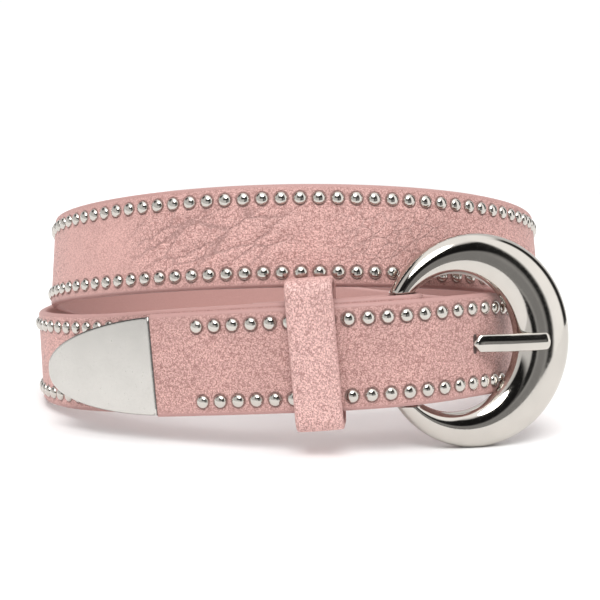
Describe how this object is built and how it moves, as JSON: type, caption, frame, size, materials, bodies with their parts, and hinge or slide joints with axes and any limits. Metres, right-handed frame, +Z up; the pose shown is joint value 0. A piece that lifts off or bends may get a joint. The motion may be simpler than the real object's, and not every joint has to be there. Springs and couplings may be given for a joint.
{
  "type": "studded belt",
  "caption": "Leather belt coiled in two turns and buckled, with a row of domed studs along each edge, a crescent buckle, a plain keeper and a bullet-shaped metal tip cap.",
  "frame": {"origin": "middle of the belt's outline seen from above, on the surface that it stands on", "axes": "+Z up, -Y towards the viewer of the picture, so the cap, keeper and buckle are on the -Y side with the buckle towards +X"},
  "size_m": [0.175, 0.1808, 0.0752],
  "materials": {
    "strap_leather": "dusty pink grained leather with painted edges; its studs are polished nickel",
    "keeper_leather": "dusty pink fine-grained leather",
    "buckle_metal": "polished nickel plate",
    "cap_metal": "satin nickel plate"
  },
  "bodies": {
    "root": {"strap": "strap_leather", "keeper": "keeper_leather", "buckle_frame": "buckle_metal", "prong": "buckle_metal", "tip_cap": "cap_metal"}
  },
  "joints": []
}
